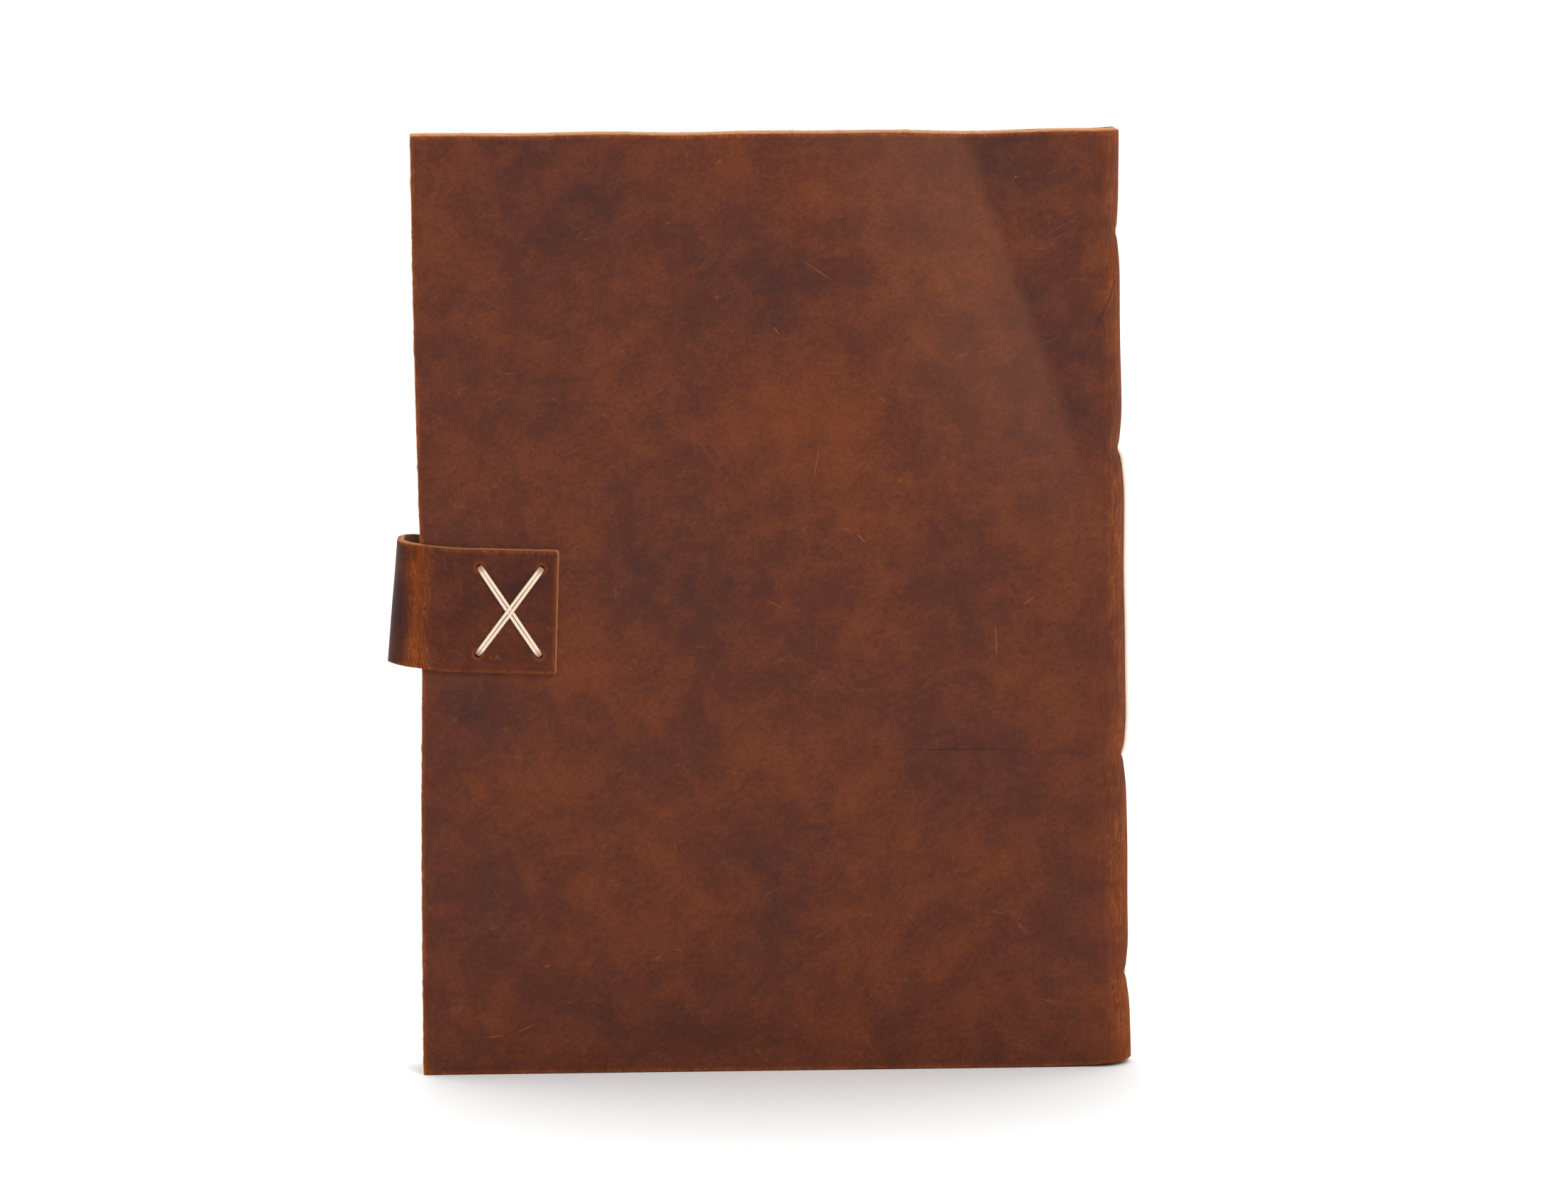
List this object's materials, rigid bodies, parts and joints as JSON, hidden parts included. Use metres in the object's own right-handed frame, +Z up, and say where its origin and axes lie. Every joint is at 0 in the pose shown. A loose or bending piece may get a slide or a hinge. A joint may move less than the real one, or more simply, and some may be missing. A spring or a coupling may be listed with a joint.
{
  "type": "leather notebook cover",
  "caption": "Closed soft leather notebook cover, long-stitched round folded paper signatures, with a strap sewn on by a cross of thread and held by a press snap.",
  "frame": {"origin": "middle of the foot of the object's bounding box, on the surface that it stands on", "axes": "+Z up along the spine; +X from the fore-edge to the spine; +Y from the back cover to the front cover"},
  "size_m": [0.2387, 0.033, 0.3048],
  "materials": {
    "cover_leather": "waxed pull-up leather, mottled reddish brown, paler where it bends, fine scratches",
    "strap_leather": "the same waxed pull-up leather, more worn and orange at its bend",
    "waxed_thread": "thick twisted cream thread, waxed",
    "page_paper": "uncoated cream paper",
    "snap_brass": "antiqued brass, satin",
    "spring_steel": "drawn wire"
  },
  "bodies": {
    "spine": {"cover_spine": "cover_leather", "long_stitch_1": "waxed_thread", "long_stitch_2": "waxed_thread", "long_stitch_3": "waxed_thread", "link_stitch_head": "waxed_thread", "link_stitch_tail": "waxed_thread"},
    "back_cover": {"cover_back": "cover_leather", "strap_anchor": "strap_leather", "cross_stitch": "waxed_thread", "cross_stitch_knot": "waxed_thread"},
    "front_cover": {"cover_front": "cover_leather", "snap_stud": "snap_brass", "snap_eyelet": "snap_brass"},
    "strap_bend": {"strap_bend": "strap_leather"},
    "strap_tab": {"strap_tab": "strap_leather", "snap_cap": "snap_brass", "snap_socket": "snap_brass", "snap_spring": "spring_steel"},
    "signature_1": {"signature_1": "page_paper", "fold_thread_1": "waxed_thread"},
    "signature_2": {"signature_2": "page_paper", "fold_thread_2": "waxed_thread"},
    "signature_3": {"signature_3": "page_paper", "fold_thread_3": "waxed_thread"}
  },
  "joints": [
    {"name": "back_cover_open", "type": "hinge", "parent": "spine", "child": "back_cover", "pos_m": [0.11486, -0.00901, 0], "axis": [0, 0, 1], "range_deg": [0, 180]},
    {"name": "front_cover_open", "type": "hinge", "parent": "spine", "child": "front_cover", "pos_m": [0.11486, 0.00676, 0], "axis": [0, 0, -1], "range_deg": [0, 180]},
    {"name": "strap_unroll", "type": "hinge", "parent": "back_cover", "child": "strap_bend", "pos_m": [-0.11677, -0.01209, 0.15315], "axis": [0.0349, 0, 0.9994], "range_deg": [0, 90], "deforming": ["strap_bend"]},
    {"name": "strap_tab_lift", "type": "hinge", "parent": "strap_bend", "child": "strap_tab", "pos_m": [-0.11677, 0.01264, 0.15315], "axis": [0.0349, 0, 0.9994], "range_deg": [0, 90], "deforming": ["strap_tab", "snap_cap", "snap_socket", "snap_spring"]},
    {"name": "signature_1_turn", "type": "hinge", "parent": "spine", "child": "signature_1", "pos_m": [0.11048, 0.00378, 0], "axis": [0, 0, -1], "range_deg": [0, 79.2]},
    {"name": "signature_2_turn", "type": "hinge", "parent": "spine", "child": "signature_2", "pos_m": [0.11048, -0.00112, 0], "axis": [0, 0, -1], "range_deg": [0, 39.6]},
    {"name": "signature_3_turn", "type": "hinge", "parent": "spine", "child": "signature_3", "pos_m": [0.11048, -0.00602, 0], "axis": [0, 0, -1], "range_deg": [0, 12.6]}
  ],
  "couplings": [
    {"joint": "signature_1_turn", "follows": "front_cover_open", "ratio": 0.44},
    {"joint": "signature_2_turn", "follows": "front_cover_open", "ratio": 0.22},
    {"joint": "signature_3_turn", "follows": "front_cover_open", "ratio": 0.07}
  ]
}
